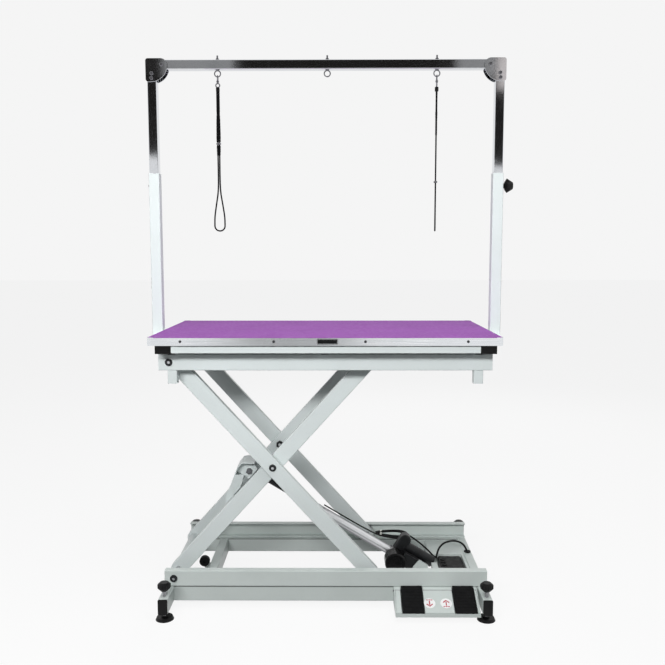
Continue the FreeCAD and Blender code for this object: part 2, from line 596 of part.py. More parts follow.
# ---------------------------------------------------------------------- arch
def make_arch():
    h = UPRIGHT_HALF
    bar_bolt = (-546, 1792)
    post_bolts = ((-579, 1763), (-580, 1748))
    left = box_tube(-POST_X - h, -POST_X + h, -h, h, UPRIGHT_BOTTOM, BAR_Z, (0, 0, 1), 1.6, 2.5)
    bar = box_tube(-BAR_HALF_X, BAR_HALF_X, -h, h, BAR_Z, BAR_Z + BAR_TALL, (1, 0, 0), 1.6, 2.5)

    plate = corner_plate(-h - 3, -h)
    rear = mirror_y(plate)
    bolts = []
    for x, z in (bar_bolt, *post_bolts):
        head = rod((x, -h - 7.5, z), (0, 1, 0), 6, 4.5)
        head = head.makeFillet(1.8, [e for e in head.Edges if abs(e.CenterOfMass.y + h + 7.5) < 0.1])
        shank = rod((x, -h - 4, z), (0, 1, 0), 3, 2 * h + 8)
        nut = hex_head((x, h + 3, z), (0, 1, 0), 10, 5)
        bolt = fuse(head, shank, nut)
        bolts += [bolt, mirror_x(bolt)]
        hole = rod((x, -h - 5, z), (0, 1, 0), 3, 2 * h + 10)
        plate = plate.cut(hole)
        rear = rear.cut(hole)
    bar_hole = rod((bar_bolt[0], -h - 5, bar_bolt[1]), (0, 1, 0), 3, 2 * h + 10)
    bar = bar.cut(bar_hole).cut(mirror_x(bar_hole))
    for x in EYE_X:
        bar = bar.cut(rod((x, 0, BAR_Z - 5), (0, 0, 1), 3, 50))
    for x, z in post_bolts:
        left = left.cut(rod((x, -h - 5, z), (0, 1, 0), 3, 2 * h + 10))
    keep("arch_uprights", left, mirror_x(left))
    keep("arch_top_bar", bar)
    keep("corner_plates", plate, rear, mirror_x(plate), mirror_x(rear))
    keep("corner_bolts", *bolts)
    keep("eye_bolts", *[eye_bolt(x) for x in EYE_X])


def corner_plate(y0, y1):
    """Rounded quadrant that ties the bar to the left upright."""
    def spot(x, z):
        return V(x, y0, z)

    edges = [Part.LineSegment(spot(-599, 1746), spot(-599, 1804)),
             Part.Arc(spot(-599, 1804), spot(-596.7, 1809.7), spot(-591, 1812)),
             Part.LineSegment(spot(-591, 1812), spot(-548, 1812)),
             Part.Arc(spot(-548, 1812), spot(-533, 1805.5), spot(-526.5, 1791)),
             Part.Arc(spot(-526.5, 1791), spot(-538, 1758), spot(-568, 1738)),
             Part.LineSegment(spot(-568, 1738), spot(-590, 1736)),
             Part.Arc(spot(-590, 1736), spot(-596.6, 1739), spot(-599, 1746))]
    face = Part.Face(Part.Wire([edge.toShape() for edge in edges]))
    return face.extrude(V(0, y1 - y0, 0))


def eye_bolt(x):
    loop = Part.makeTorus(10, 2, V(x, 0, EYE_Z), V(0, 1, 0))
    shank = rod((x, 0, EYE_Z + 9), (0, 0, 1), 3, 50)
    collar = rod((x, 0, BAR_Z - 2.5), (0, 0, 1), 6, 2.5)
    nut = hex_head((x, 0, BAR_Z + BAR_TALL), (0, 0, 1), 10, 6)
    return fuse(loop, shank, collar, nut)


def snap_hook(x, plane_normal):
    loop = Part.makeTorus(8, 1.8, V(x, 0, EYE_Z - 14.0), V(1, 0, 0))
    barrel = rod((x, 0, EYE_Z - 31), (0, 0, 1), 3.6, 10)
    ridge = rod((x, 0, EYE_Z - 27), (0, 0, 1), 4.8, 3)
    lower = Part.makeTorus(6.5, 2, V(x, 0, EYE_Z - 38), V(*plane_normal))
    return fuse(loop, barrel, ridge, lower)


# --------------------------------------------------------------------- cords
def bent_wire(points):
    """Straight runs joined by tangent arcs, all in one wire."""
    pts = [V(*p) for p in points]
    pieces = []
    start = pts[0]
    smallest = 1e9
    for index in range(1, len(pts) - 1):
        corner = pts[index]
        before = corner - pts[index - 1]
        after = pts[index + 1] - corner
        turn = before.getAngle(after)
        reach = 0.45 * min(before.Length, after.Length)
        smallest = min(smallest, reach / math.tan(turn / 2))
        before.normalize()
        after.normalize()
        first = corner - before * reach
        last = corner + after * reach
        inward = after - before
        inward.normalize()
        radius = reach / math.tan(turn / 2)
        middle = corner + inward * (radius / math.cos(turn / 2) - radius)
        pieces.append(Part.LineSegment(start, first).toShape())
        pieces.append(Part.Arc(first, middle, last).toShape())
        start = last
    pieces.append(Part.LineSegment(start, pts[-1]).toShape())
    return Part.Wire(pieces), smallest


def cord(name, points, radius):
    wire, smallest = bent_wire(points)
    first = wire.Edges[0]
    heading = first.tangentAt(first.FirstParameter)
    circle = Part.Wire(Part.makeCircle(radius, V(*points[0]), heading))
    tube = wire.makePipeShell([circle], True, True)
    expected = math.pi * radius * radius * wire.Length
    print("cord", name, "length %.0f" % wire.Length, "smallest radius %.1f" % smallest,
          "diameter %.1f" % (2 * radius), "volume share %.3f" % (tube.Volume / expected))
    CORDS[name] = tube
    return tube


def noose_points(x, half_gap, loop_top, loop_half, bottom, top, edge_on):
    """One strand down, round the open loop and back up beside it."""
    side = []
    steps = max(5, int((top - loop_top) / 62))
    for index in range(steps + 1):
        z = top + (loop_top - top) * index / steps
        wander = 0.2 if index % 2 else -0.2
        side.append((half_gap + wander, z))
    middle = bottom + loop_half
    facet = loop_half * math.tan(math.radians(22.5))
    side.append((loop_half * 0.62, middle + 72))
    side.append((loop_half * 0.97, middle + 32))
    side.append((loop_half, middle + 10))
    side.append((loop_half, middle - facet))
    side.append((facet, bottom))
    down = [(-u, z) for u, z in side]
    route = down + list(reversed(side))
    if edge_on:
        return [(x + 0.12 * u, u, z) for u, z in route]
    return [(x + u, 0.12 * u, z) for u, z in route]


def act_point(along, y, above):
    """A point beside the actuator: distance from its pivot, side, height above its line."""
    turn = math.radians(ACT_ANGLE)
    return (ACT_PIVOT[0] - along * math.cos(turn) + above * math.sin(turn), y,
            ACT_PIVOT[1] + along * math.sin(turn) + above * math.cos(turn))


def tied_hank():
    """The folded spare cable as one closed bundle, tied at its left end."""
    half_long = 42.0
    bend = 15.0
    runs = []
    for height in (-bend, bend):
        runs.append(rod((-half_long, 0, height), (1, 0, 0), 8.5, 2 * half_long))
    ends = []
    for end in (-half_long, half_long):
        torus = Part.makeTorus(bend, 8.5, V(end, 0, 0), V(0, 1, 0))
        reach = 30 if end > 0 else -30
        ends.append(torus.common(block(min(end, end + reach), max(end, end + reach), -20, 20, -40, 40)))
    hank = fuse(*runs, *ends)
    hank.rotate(V(0, 0, 0), V(1, 0, 0), 18)
    hank.rotate(V(0, 0, 0), V(0, 1, 0), -6)
    hank.translate(V(236, 64, 152))
    CORDS["cable_hank"] = hank
    return hank


def make_cords():
    cord_left = noose_points(EYE_X[0], 2.75, 1379, 17, 1244, 1716, False)
    keep("left_noose_cord", cord("left_noose_cord", cord_left, 2.5))
    cord_right = noose_points(EYE_X[2], 2.75, 1400, 17, 1244, 1716, True)
    keep("right_noose_cord", cord("right_noose_cord", cord_right, 2.5))

    along_tube = [act_point(118, 6, 50), act_point(150, 5, 30), act_point(195, 3, 24),
                  act_point(250, 5, 21.5), act_point(305, 3, 22), act_point(352, 5, 21.5),
                  act_point(394, 3, 22)]
    keep("tube_cable", cord("tube_cable", along_tube, 2.5))

    keep("cable_hank", tied_hank())

    arc = [(392, 6, 82), (398, 20, 106), (418, 40, 123), (449, 54, 129), (480, 61, 124), (502, 62, 109),
           (512, 60, 86)]
    keep("cable_arc", cord("cable_arc", arc, 3.5))

    strand = [(303, 63, 143), (322, 53, 133), (344, 44, 118), (366, 38, 100), (384, 33, 80), (400, 30, 72)]
    keep("cable_strand", cord("cable_strand", strand, 3.0))


# -------------------------------------------------------------------- export
def build_all():
    make_base_frame()
    make_controls()
    make_pedal_unit()
    make_feet()
    make_scissor()
    make_actuator()
    make_upper_frame()
    make_arch()
    keep("left_noose_hook", snap_hook(EYE_X[0], (0, 1, 0)))
    keep("right_noose_hook", snap_hook(EYE_X[2], (1, 0, 0)))
    make_cords()


build_all()
bounds = FreeCAD.BoundBox()
for node_name, node_shape in NODES.items():
    if node_name not in CORDS:
        bounds.add(node_shape.BoundBox)
SHIFT = V(-(bounds.XMin + bounds.XMax) / 2, -(bounds.YMin + bounds.YMax) / 2, -bounds.ZMin)
print("shift %.4f %.4f %.4f" % (SHIFT.x, SHIFT.y, SHIFT.z))
print("size %.1f %.1f %.1f" % (bounds.XLength, bounds.YLength, bounds.ZLength))
for node_name, node_shape in NODES.items():
    moved_shape = node_shape.copy()
    moved_shape.translate(SHIFT)
    solids = moved_shape.Solids
    valid = all(solid.isValid() and solid.Volume > 1 for solid in solids)
    if not valid or not solids:
        print("PROBLEM", node_name, len(solids), valid)
    moved_shape.exportStep("parts/" + node_name + ".step")
print("nodes", len(NODES))
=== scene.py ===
import math

import bpy
import bmesh
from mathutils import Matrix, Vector


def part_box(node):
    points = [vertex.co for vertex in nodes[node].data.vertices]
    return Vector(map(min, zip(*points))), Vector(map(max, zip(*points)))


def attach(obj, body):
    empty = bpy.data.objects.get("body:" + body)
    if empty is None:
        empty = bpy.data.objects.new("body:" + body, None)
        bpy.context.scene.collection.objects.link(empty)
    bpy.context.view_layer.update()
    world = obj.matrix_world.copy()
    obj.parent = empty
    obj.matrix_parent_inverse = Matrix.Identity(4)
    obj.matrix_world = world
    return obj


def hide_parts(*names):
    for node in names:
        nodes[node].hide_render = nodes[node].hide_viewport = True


# Grooming table.  Blender works in metres, in the CAD frame.  Places below go
# through at(), which takes millimetres from the middle of the table top (X, Y)
# and from a level 885 mm under the board's lower face (Z).
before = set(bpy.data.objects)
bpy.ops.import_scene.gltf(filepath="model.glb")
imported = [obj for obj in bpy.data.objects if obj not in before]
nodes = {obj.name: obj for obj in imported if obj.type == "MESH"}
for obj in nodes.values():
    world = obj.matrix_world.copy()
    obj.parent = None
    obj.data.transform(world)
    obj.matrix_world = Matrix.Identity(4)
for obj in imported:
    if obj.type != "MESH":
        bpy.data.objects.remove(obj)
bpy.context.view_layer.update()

BOARD_LEVEL = 0.885
board_low, board_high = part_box("table_board")
ORIGIN = Vector(((board_low[0] + board_high[0]) / 2, (board_low[1] + board_high[1]) / 2,
                 board_low[2] - BOARD_LEVEL))


def at(x, y, z):
    """A place in the CAD frame, from millimetres."""
    return ORIGIN + Vector((x, y, z)) / 1000


# ------------------------------------------------------------ node helpers
class Material:
    """A principled material with object coordinates in metres and short node helpers."""

    def __init__(self, name, metallic=0.0, roughness=0.5, coat=0.0, specular=0.5):
        self.material = bpy.data.materials.new(name)
        self.material.use_nodes = True
        self.tree = self.material.node_tree
        self.shader = self.tree.nodes["Principled BSDF"]
        self.shader.inputs["Metallic"].default_value = metallic
        self.shader.inputs["Roughness"].default_value = roughness
        self.shader.inputs["Coat Weight"].default_value = coat
        self.shader.inputs["Coat Roughness"].default_value = 0.2
        self.shader.inputs["Specular IOR Level"].default_value = specular
        self.place = self.add("ShaderNodeTexCoord").outputs["Object"]

    def add(self, kind, **values):
        """A new node with the given properties."""
        node = self.tree.nodes.new(kind)
        for key, value in values.items():
            setattr(node, key, value)
        return node

    def feed(self, socket, value):
        """Links another node's output to a socket, or sets a plain value."""
        if isinstance(value, bpy.types.NodeSocket):
            self.tree.links.new(value, socket)
        else:
            socket.default_value = value

    def stretched(self, scale):
        """Object coordinates scaled by a factor for each axis."""
        mapping = self.add("ShaderNodeMapping")
        self.feed(mapping.inputs["Vector"], self.place)
        mapping.inputs["Scale"].default_value = scale
        return mapping.outputs["Vector"]

    def noise(self, scale, detail, vector=None, rough=0.5):
        node = self.add("ShaderNodeTexNoise")
        self.feed(node.inputs["Vector"], vector or self.place)
        node.inputs["Scale"].default_value = scale
        node.inputs["Detail"].default_value = detail
        node.inputs["Roughness"].default_value = rough
        return node.outputs["Fac"]

    def wave(self, scale, direction):
        node = self.add("ShaderNodeTexWave", bands_direction=direction)
        self.feed(node.inputs["Vector"], self.place)
        node.inputs["Scale"].default_value = scale
        return node.outputs["Fac"]

    def cells(self, scale):
        node = self.add("ShaderNodeTexVoronoi")
        self.feed(node.inputs["Vector"], self.place)
        node.inputs["Scale"].default_value = scale
        return node.outputs["Distance"]

    def range(self, value, low, high, new_low, new_high):
        """Maps low to high onto new_low to new_high, and holds beyond both ends."""
        node = self.add("ShaderNodeMapRange")
        self.feed(node.inputs["Value"], value)
        limits = {"From Min": low, "From Max": high, "To Min": new_low, "To Max": new_high}
        for socket, number in limits.items():
            node.inputs[socket].default_value = number
        return node.outputs["Result"]

    def math(self, operation, first, second):
        node = self.add("ShaderNodeMath", operation=operation)
        self.feed(node.inputs[0], first)
        self.feed(node.inputs[1], second)
        return node.outputs[0]

    def mix(self, share, first, second):
        """The first colour where the share is 0, the second where it is 1."""
        node = self.add("ShaderNodeMix", data_type="RGBA")
        self.feed(node.inputs["Factor"], share)
        self.feed(node.inputs["A"], first)
        self.feed(node.inputs["B"], second)
        return node.outputs["Result"]

    def axes(self):
        """The object coordinates as separate X, Y and Z."""
        node = self.add("ShaderNodeSeparateXYZ")
        self.feed(node.inputs[0], self.place)
        return node.outputs

    def between(self, low, high):
        """1 where the height in metres lies between the two values."""
        height = self.axes()["Z"]
        above = self.math("GREATER_THAN", height, low)
        below = self.math("LESS_THAN", height, high)
        return self.math("MULTIPLY", above, below)

    def near_line(self, place, radius):
        """1 within the radius of the line along Y through the place."""
        axes = self.axes()
        across = self.math("POWER", self.math("SUBTRACT", axes["X"], place.x), 2.0)
        upward = self.math("POWER", self.math("SUBTRACT", axes["Z"], place.z), 2.0)
        return self.math("LESS_THAN", self.math("ADD", across, upward), radius ** 2)

    def edge_wear(self, radius):
        """High along edges, within the radius of them."""
        bevel = self.add("ShaderNodeBevel", samples=4)
        bevel.inputs["Radius"].default_value = radius
        geometry = self.add("ShaderNodeNewGeometry")
        dot = self.add("ShaderNodeVectorMath", operation="DOT_PRODUCT")
        self.feed(dot.inputs[0], bevel.outputs["Normal"])
        self.feed(dot.inputs[1], geometry.outputs["Normal"])
        return self.range(dot.outputs["Value"], 0.99, 0.80, 0.0, 1.0)

    def colour(self, value):
        self.feed(self.shader.inputs["Base Color"], value)

    def roughness(self, value):
        self.feed(self.shader.inputs["Roughness"], value)

    def bump(self, height, strength, distance=0.0005):
        node = self.add("ShaderNodeBump")
        self.feed(node.inputs["Height"], height)
        node.inputs["Strength"].default_value = strength
        node.inputs["Distance"].default_value = distance
        self.feed(self.shader.inputs["Normal"], node.outputs["Normal"])


def rgb(red, green, blue):
    """An sRGB colour, 0 to 255, as linear."""
    channels = []
    for value in (red, green, blue):
        share = value / 255
        channels.append(share / 12.92 if share <= 0.04045 else ((share + 0.055) / 1.055) ** 2.4)
    return (*channels, 1.0)


# --------------------------------------------------------------- materials
PITCH = rgb(9, 9, 10)
# Grey for fine specks, and for the painted shade low down on the powder coat.
DUST_AND_SHADE_GREY = rgb(120, 124, 122)
WORN_PAINT = rgb(150, 152, 150)
# Dark grey for the painted shade in the groove between the base rails and the channels.
SEAM_SHADE = rgb(64, 68, 66)
LOW_SPECULAR = 0.22

# Heights in metres: painted shade thins out upwards between the first two, and a
# dark band of painted shade lies in the groove between the rails and the channels on them.
SHADE_FULL_Z = 0.10
SHADE_GONE_Z = 0.62
RAIL_SEAM = (0.0732, 0.0757)


def powder_coat(name, light, dark, dust_and_shade, seam=None):
    """White powder coat: orange peel, slight cloudiness, fine specks, painted shade that darkens it towards
    the bottom, and rubbed edges.

    The seam, if there is one, is the pair of heights between which a dark band of painted shade lies.
    """
    m = Material(name, roughness=0.4, coat=0.15)
    cloud = m.range(m.noise(6.0, 5.0), 0.3, 0.7, 0.0, 1.0)
    base = m.mix(cloud, light, dark)
    speck = m.range(m.noise(420.0, 2.0), 0.62, 0.72, 0.0, 0.10)
    base = m.mix(speck, base, DUST_AND_SHADE_GREY)
    patches = m.range(m.noise(60.0, 5.0), 0.50, 0.68, 0.0, 0.55)
    base = m.mix(m.math("MULTIPLY", m.edge_wear(0.0012), patches), base, WORN_PAINT)
    # Painted shade: darker towards the bottom, up to the given share of the grey.
    base = m.mix(m.range(m.axes()["Z"], SHADE_FULL_Z, SHADE_GONE_Z, dust_and_shade, 0.0), base, DUST_AND_SHADE_GREY)
    if seam:
        # Painted shade: a dark band in the groove between the rails and the channels on them.
        base = m.mix(m.math("MULTIPLY", m.between(*seam), 0.8), base, SEAM_SHADE)
    m.colour(base)
    m.roughness(m.range(m.noise(25.0, 4.0), 0.3, 0.7, 0.34, 0.48))
    m.bump(m.noise(650.0, 2.0), 0.12)
    return m.material


def mat_rubber():
    """Purple non-slip mat with a fine pebbled grain and scuffs."""
    m = Material("purple_mat", roughness=0.62, specular=LOW_SPECULAR)
    cloud = m.range(m.noise(9.0, 6.0), 0.3, 0.7, 0.0, 1.0)
    base = m.mix(cloud, rgb(150, 78, 170), rgb(140, 70, 160))
    scuff = m.range(m.noise(55.0, 6.0, m.stretched((1.0, 3.0, 1.0))), 0.60, 0.78, 0.0, 0.25)
    m.colour(m.mix(scuff, base, rgb(166, 112, 184)))
    grain = m.math("ADD", m.cells(420.0), m.math("MULTIPLY", m.noise(900.0, 2.0), 0.4))
    m.roughness(m.range(m.noise(80.0, 4.0), 0.3, 0.7, 0.52, 0.7))
    m.bump(grain, 0.35, 0.0006)
    return m.material


def brushed(name, colour, dark, scale, low, high):
    """Metal with drawn lines along the given stretch and faint staining."""
    m = Material(name, metallic=1.0, roughness=0.3)
    lines = m.noise(1.0, 5.0, m.stretched(scale), 0.7)
    stain = m.range(m.noise(14.0, 5.0), 0.35, 0.7, 0.0, 0.5)
    base = m.mix(m.range(lines, 0.35, 0.65, 0.0, 1.0), colour, dark)
    m.colour(m.mix(stain, base, dark))
    m.roughness(m.range(lines, 0.3, 0.7, low, high))
    m.bump(lines, 0.08, 0.0003)
    return m.material


def tube_metal():
    """Satin aluminium tube with a painted highlight along its front and painted shade above and below."""
    m = Material("tube_aluminium", metallic=1.0, roughness=0.34)
    # Painted light: faces turned to the front and a little up are painted bright as a highlight, the rest
    # dark grey as shade.
    geometry = m.add("ShaderNodeNewGeometry")
    facing = m.add("ShaderNodeVectorMath", operation="DOT_PRODUCT")
    m.feed(facing.inputs[0], geometry.outputs["Normal"])
    facing.inputs[1].default_value = (0.20, -0.90, 0.38)
    painted_highlight = m.range(facing.outputs["Value"], 0.45, 0.97, 0.0, 1.0)
    stain = m.range(m.noise(60.0, 5.0), 0.35, 0.75, 0.0, 0.25)
    painted_shade = m.mix(stain, rgb(112, 113, 117), rgb(84, 85, 88))
    m.colour(m.mix(painted_highlight, painted_shade, rgb(246, 247, 249)))
    m.roughness(m.range(m.noise(90.0, 4.0), 0.3, 0.7, 0.30, 0.38))
    m.bump(m.noise(420.0, 3.0), 0.05, 0.0002)
    return m.material


def chrome():
    """Bright chrome with finger smudges and a few fine scratches."""
    m = Material("chrome", metallic=1.0, roughness=0.08)
    smudge = m.range(m.noise(22.0, 6.0), 0.45, 0.75, 0.0, 1.0)
    scratch = m.noise(1.0, 3.0, m.stretched((900.0, 900.0, 12.0)), 0.8)
    m.colour(m.mix(smudge, rgb(222, 224, 228), rgb(214, 217, 221)))
    m.roughness(m.range(smudge, 0.0, 1.0, 0.06, 0.10))
    m.bump(scratch, 0.03, 0.0002)
    return m.material


def plastic(name, colour, lighter, roughness, grain=500.0, strength=0.2):
    """Moulded plastic with a spark-eroded grain, light dust and worn edges."""
    m = Material(name, roughness=roughness, specular=LOW_SPECULAR)
    dust_and_shade = m.range(m.noise(35.0, 6.0), 0.52, 0.80, 0.0, 0.35)
    base = m.mix(dust_and_shade, colour, lighter)
    m.colour(m.mix(m.math("MULTIPLY", m.edge_wear(0.001), 0.5), base, lighter))
    m.roughness(m.range(m.noise(60.0, 4.0), 0.3, 0.7, roughness - 0.08, roughness + 0.1))
    m.bump(m.noise(grain, 3.0), strength)
    return m.material


def cast_metal():
    """Dark painted casting with a coarse sand texture."""
    m = Material("dark_cast", metallic=0.35, roughness=0.42)
    patch = m.range(m.noise(40.0, 5.0), 0.35, 0.7, 0.0, 1.0)
    base = m.mix(patch, rgb(20, 21, 22), rgb(32, 33, 35))
    m.colour(m.mix(m.math("MULTIPLY", m.edge_wear(0.001), 0.6), base, rgb(118, 120, 122)))
    m.bump(m.noise(260.0, 4.0), 0.3)
    return m.material


# Heights between which the stem of a foot is bare, for at().
STEM_LOW = 20.5
STEM_HIGH = 101.8


def foot_finish():
    """Black moulded pad and knob on a bright threaded stem."""
    m = Material("foot_finish", roughness=0.5, specular=LOW_SPECULAR)
    stem = m.between(at(0, 0, STEM_LOW).z, at(0, 0, STEM_HIGH).z)
    dust_and_shade = m.range(m.noise(35.0, 6.0), 0.52, 0.80, 0.0, 0.35)
    black = m.mix(dust_and_shade, PITCH, rgb(28, 28, 30))
    thread = m.wave(160.0, "Z")
    metal = m.mix(thread, rgb(92, 92, 95), rgb(196, 196, 200))
    m.colour(m.mix(stem, black, metal))
    m.feed(m.shader.inputs["Metallic"], m.math("MULTIPLY", stem, 0.9))
    m.roughness(m.range(m.noise(60.0, 4.0), 0.3, 0.7, 0.36, 0.55))
    ridges = m.math("MULTIPLY", thread, stem)
    grain = m.math("MULTIPLY", m.noise(500.0, 3.0), 0.3)
    m.bump(m.math("ADD", ridges, grain), 0.3)
    return m.material


# Radius of the bright socket in a bolt head, in metres.
SOCKET_RADIUS = 0.0046


def bolt_finish(name, place, shaft_half):
    """Blackened bolt heads with bright sockets, and a plain shaft between the heads."""
    m = Material(name, metallic=0.8, roughness=0.35)
    stain = m.range(m.noise(120.0, 4.0), 0.35, 0.7, 0.0, 1.0)
    dark = m.mix(stain, rgb(40, 41, 43), rgb(66, 68, 70))
    bright = m.mix(stain, rgb(236, 238, 240), rgb(196, 198, 202))
    head = m.mix(m.near_line(place, SOCKET_RADIUS), dark, bright)
    shaft = m.math("LESS_THAN", m.math("ABSOLUTE", m.axes()["Y"], 0.0), shaft_half)
    m.colour(m.mix(shaft, head, rgb(176, 178, 180)))
    m.roughness(m.range(m.noise(90.0, 4.0), 0.3, 0.7, 0.25, 0.45))
    m.bump(m.noise(400.0, 3.0), 0.15)
    return m.material


def braid(name, pitch):
    """Black braided webbing: two crossing families of fine yarns."""
    m = Material(name, roughness=0.85, specular=0.15)
    yarns = m.math("MAXIMUM", m.wave(pitch, "DIAGONAL"), m.wave(pitch * 0.9, "Z"))
    fuzz = m.noise(1200.0, 2.0)
    m.colour(m.mix(yarns, rgb(4, 4, 5), rgb(14, 14, 16)))
    m.bump(m.math("ADD", yarns, m.math("MULTIPLY", fuzz, 0.3)), 0.6, 0.0006)
    return m.material


def backing_board():
    """Phenolic-faced plywood underside with a faint wire pattern, coloured dark partly as painted shade
    under the table top.
    """
    m = Material("backing_board", roughness=0.6)
    grain = m.noise(1.0, 8.0, m.stretched((3.0, 60.0, 60.0)), 0.6)
    # Painted shade in part: the dark browns keep the gap under the table top dark.
    m.colour(m.mix(m.range(grain, 0.3, 0.7, 0.0, 1.0), rgb(66, 60, 56), rgb(46, 42, 40)))
    m.bump(m.cells(380.0), 0.15)
    return m.material


def red_print():
    """Red screen print, slightly worn."""
    m = Material("red_print", roughness=0.45)
    worn = m.range(m.noise(300.0, 3.0), 0.5, 0.7, 0.0, 0.5)
    m.colour(m.mix(worn, rgb(176, 18, 50), rgb(196, 52, 78)))
    m.bump(m.noise(700.0, 2.0), 0.1)
    return m.material


def label_disc():
    """White vinyl disc, a little brighter than the paint round it."""
    m = Material("label_disc", roughness=0.35)
    cloud = m.range(m.noise(40.0, 4.0), 0.4, 0.7, 0.0, 1.0)
    m.colour(m.mix(cloud, rgb(246, 246, 246), rgb(234, 234, 234)))
    m.bump(m.noise(300.0, 2.0), 0.05)
    return m.material


def nylon_tie():
    """Slightly yellowed white nylon tie."""
    m = Material("white_tie", roughness=0.5)
    m.colour(m.mix(m.noise(90.0, 4.0), rgb(226, 226, 220), rgb(198, 198, 190)))
    m.bump(m.noise(500.0, 2.0), 0.15)
    return m.material


# The middle of each bolt's axis, for at(), and half its plain shaft, in metres.
PIVOTS = {"lower": (-497, 0, 110), "upper": (-497, 0, 824), "centre": (-174, 0, 467)}
PIVOT_SHAFT_HALF = 0.19
CENTRE_SHAFT_HALF = 0.11

# The number after the two colours is the share of painted shade low down.
WHITE = powder_coat("powder_coat", rgb(236, 244, 244), rgb(230, 238, 237), 0.30)
# Painted shade: the base parts and the rails take darker copies of the same white powder coat.
SHADED_BASE_WHITE = powder_coat("powder_coat_base_shaded", rgb(208, 216, 213), rgb(198, 206, 203), 0.02)
SHADED_RAIL_WHITE = powder_coat("powder_coat_rail_shaded", rgb(204, 212, 209), rgb(194, 202, 199), 0.06, RAIL_SEAM)
MAT = mat_rubber()
ALU = brushed("drawn_aluminium", rgb(246, 248, 250), rgb(224, 228, 232), (8.0, 700.0, 700.0), 0.14, 0.28)
TUBE = tube_metal()
ZINC = brushed("zinc", rgb(168, 168, 172), rgb(112, 112, 116), (120.0, 120.0, 300.0), 0.28, 0.45)
SCREW = brushed("screw_steel", rgb(92, 92, 95), rgb(52, 52, 55), (120.0, 120.0, 300.0), 0.28, 0.45)
LOW_PIVOT = bolt_finish("lower_pivot_steel", at(*PIVOTS["lower"]), PIVOT_SHAFT_HALF)
HIGH_PIVOT = bolt_finish("upper_pivot_steel", at(*PIVOTS["upper"]), PIVOT_SHAFT_HALF)
CENTRE_BOLT = bolt_finish("centre_bolt_steel", at(*PIVOTS["centre"]), CENTRE_SHAFT_HALF)
FOOT = foot_finish()
CHROME = chrome()
BLACK = plastic("black_plastic", PITCH, rgb(26, 26, 28), 0.5)
GLOSSY_BLACK = plastic("gloss_black", PITCH, rgb(30, 30, 32), 0.25, 300.0, 0.08)
RUBBER = plastic("black_rubber", PITCH, rgb(28, 28, 28), 0.68, 380.0, 0.4)
CABLE = plastic("cable_jacket", rgb(10, 10, 11), rgb(34, 34, 36), 0.42, 700.0, 0.15)
CAST = cast_metal()
BRAID = braid("black_braid", 160.0)
STRAP = braid("black_strap", 90.0)
BOARD = backing_board()
RED = red_print()
TIE = nylon_tie()
DISC = label_disc()

# The nodes of each finish.  Every other node has the white powder coat.
FINISHES = (
    (MAT, ("table_mat",)),
    (BOARD, ("table_board",)),
    (ALU, ("table_trim", "trim_corner_caps")),
    (CHROME, ("arch_uprights", "arch_top_bar", "corner_plates")),
    (TUBE, ("actuator_tube",)),
    (CAST, ("actuator_rod", "gear_housing")),
    (SCREW, ("small_screws",)),
    (LOW_PIVOT, ("lower_pivot_shaft",)),
    (HIGH_PIVOT, ("upper_pivot_shaft",)),
    (CENTRE_BOLT, ("centre_bolts",)),
    (GLOSSY_BLACK, ("nameplate", "motor")),
    (BLACK, ("clamp_rail_caps", "outrigger_end_caps", "clamp_knob", "control_box")),
    (RUBBER, ("rubber_buffer", "cable_grommet", "left_pedal", "right_pedal")),
    (FOOT, ("foot_front_left", "foot_front_right", "foot_rear_left", "foot_rear_right")),
    (ZINC, ("corner_bolts", "eye_bolts", "left_noose_hook", "right_noose_hook", "rod_bolts", "upper_rollers",
            "lower_roller_front", "lower_roller_rear", "actuator_pin", "pedal_rod")),
    (SHADED_BASE_WHITE, ("base_channels", "outriggers", "inner_cross_tube", "control_tray", "pedal_tray",
                  "actuator_mount")),
    (SHADED_RAIL_WHITE, ("base_rails",)),
)


def finish_cad_nodes():
    """Gives each CAD node its one material."""
    finishes = {name: material for material, names in FINISHES for name in names}
    for name, node in nodes.items():
        node.data.materials.clear()
        node.data.materials.append(finishes.get(name, WHITE))


# ------------------------------------------------------------------- cords
def spline(name, points, radius, material):
    """A round cord on a smooth curve pulled towards the points."""
    curve = bpy.data.curves.new(name, "CURVE")
    curve.dimensions = "3D"
    curve.bevel_depth = radius
    curve.bevel_resolution = 4
    curve.resolution_u = 10
    curve.use_fill_caps = True
    line = curve.splines.new("NURBS")
    line.points.add(len(points) - 1)
    for target, point in zip(line.points, points):
        target.co = (*point, 1.0)
    line.order_u = 3
    line.use_endpoint_u = True
    piece = bpy.data.objects.new(name, curve)
    bpy.context.scene.collection.objects.link(piece)
    curve.materials.append(material)
    return piece


def path_length(piece):
    """The length of a curve's own line."""
    depth = piece.data.bevel_depth
    piece.data.bevel_depth = 0.0
    bpy.context.view_layer.update()
    mesh = piece.evaluated_get(bpy.context.evaluated_depsgraph_get()).to_mesh()
    spots = [vertex.co.copy() for vertex in mesh.vertices]
    total = sum((spots[e.vertices[0]] - spots[e.vertices[1]]).length for e in mesh.edges)
    piece.data.bevel_depth = depth
    return total


def held_cord(name, node, body, points, diameter, material):
    """A cord fixed at both ends, in place of the CAD node; the diameter is in millimetres."""
    places = [at(*point) for point in points]
    piece = spline(name, places, diameter / 2000, material)
    length = path_length(piece)
    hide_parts(node)
    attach(piece, body)


# ------------------------------------------------------------- mesh pieces
def mesh_piece(name, builder, material, body, smooth=True):
    """A piece on a body, whose faces the builder adds to an empty mesh."""
    mesh = bpy.data.meshes.new(name)
    work = bmesh.new()
    builder(work)
    bmesh.ops.recalc_face_normals(work, faces=work.faces)
    work.to_mesh(mesh)
    work.free()
    for face in mesh.polygons:
        face.use_smooth = smooth
    mesh.materials.append(material)
    piece = bpy.data.objects.new(name, mesh)
    bpy.context.scene.collection.objects.link(piece)
    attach(piece, body)
    return piece


